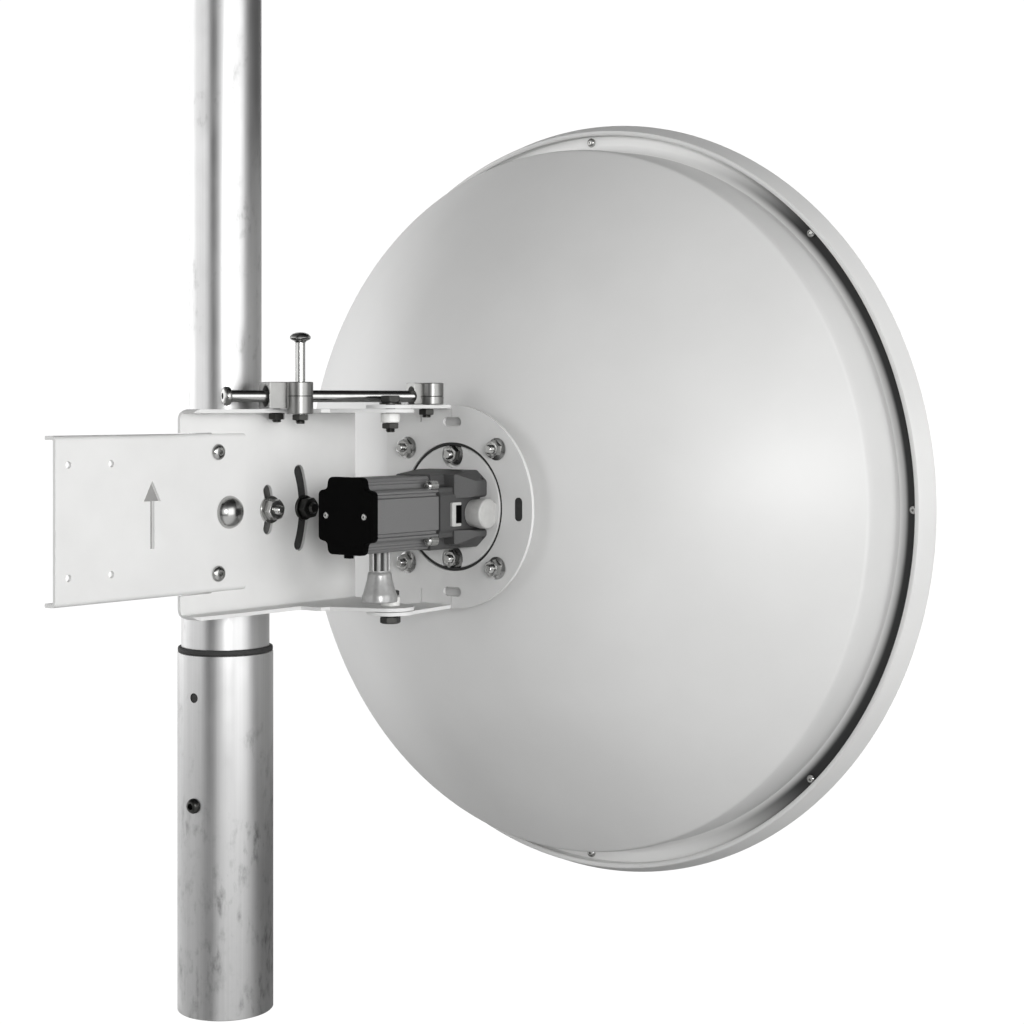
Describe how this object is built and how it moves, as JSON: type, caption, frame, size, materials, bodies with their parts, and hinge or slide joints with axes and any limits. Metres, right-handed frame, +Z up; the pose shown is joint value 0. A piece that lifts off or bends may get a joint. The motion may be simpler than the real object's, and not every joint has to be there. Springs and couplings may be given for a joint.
{
  "type": "parabolic dish antenna with mast mount",
  "caption": "Deep parabolic microwave dish with a radio unit behind it, on a tilting and swivelling bracket clamped to a telescopic mast section.",
  "frame": {"origin": "middle of the mast wall's lower end face, on the side away from the dish", "axes": "+Z up the mast, +Y the way the dish looks, +X towards the radio's side of the mast"},
  "size_m": [0.695, 0.5764, 0.9],
  "materials": {
    "mast_metal": "drawn tube, weathered and scratched",
    "zinc_castings": "zinc plated",
    "steel_fasteners": "stainless",
    "hub_metal": "white powder coat",
    "white_bracket_coat": "white powder coat, satin",
    "white_dish_coat": "white powder coat, satin",
    "radio_metal": "grey coated extrusion, satin",
    "black_plastic": "moulded, fine grain",
    "grey_plastic": "moulded nylon",
    "white_plastic": "moulded nylon",
    "radome_plastic": "vacuum-formed, satin",
    "rubber": "black, matte"
  },
  "bodies": {
    "mast": {"mast_lower_pipe": "mast_metal", "mast_middle_pipe": "mast_metal", "mast_upper_pipe": "mast_metal", "mast_seal_ring": "rubber", "mast_bush": "black_plastic", "mast_locking_screw": "steel_fasteners", "clamp_near_saddle": "zinc_castings", "clamp_far_saddle": "zinc_castings", "clamp_outer_bolt": "steel_fasteners", "elevation_pivot_bolt": "steel_fasteners", "elevation_lock_stud": "steel_fasteners"},
    "bracket": {"side_plate": "white_bracket_coat", "arm_plate": "white_bracket_coat", "arm_screw_upper": "steel_fasteners", "arm_screw_lower": "steel_fasteners", "swivel_bolt_upper": "steel_fasteners", "swivel_bolt_lower": "steel_fasteners", "swivel_boss_upper": "white_plastic", "swivel_boss_lower": "white_plastic"},
    "dish_head": {"hub_plate": "white_bracket_coat", "hub_nut_1": "steel_fasteners", "hub_nut_2": "steel_fasteners", "hub_nut_3": "steel_fasteners", "hub_nut_4": "steel_fasteners", "hub_inner_bolt_upper": "steel_fasteners", "hub_inner_bolt_lower": "steel_fasteners", "hub_casting": "hub_metal", "reflector": "white_dish_coat", "rim_ring": "white_dish_coat", "radome": "radome_plastic", "radio_body": "radio_metal", "radio_adapter": "radio_metal", "radio_end_cap": "black_plastic", "radio_plug": "white_plastic", "radio_gland": "grey_plastic"},
    "rear_block": {"rod_block_rear": "zinc_castings", "rod_lock_bolt": "steel_fasteners"},
    "adjuster": {"rod_block_front": "zinc_castings", "adjusting_rod": "steel_fasteners"}
  },
  "joints": [
    {"name": "elevation_tilt", "type": "hinge", "parent": "mast", "child": "bracket", "pos_m": [0, -0.00195, 0.42], "axis": [1, 0, 0], "range_deg": [-18, 18]},
    {"name": "azimuth_swivel", "type": "hinge", "parent": "bracket", "child": "dish_head", "pos_m": [0.122, 0.11055, 0.42], "axis": [0, 0, 1], "range_deg": [-8, 8]},
    {"name": "rear_block_turn", "type": "hinge", "parent": "bracket", "child": "rear_block", "pos_m": [0.05693, 0.04276, 0.5142], "axis": [0, 0, 1], "range_deg": [-3, 3]},
    {"name": "rod_turn", "type": "hinge", "parent": "dish_head", "child": "adjuster", "pos_m": [0.121, 0.15705, 0.5142], "axis": [0, 0, 1], "range_deg": [-6, 6]}
  ],
  "couplings": [
    {"joint": "rear_block_turn", "follows": "azimuth_swivel", "ratio": 0.3196},
    {"joint": "rod_turn", "follows": "azimuth_swivel", "ratio": -0.6804}
  ]
}
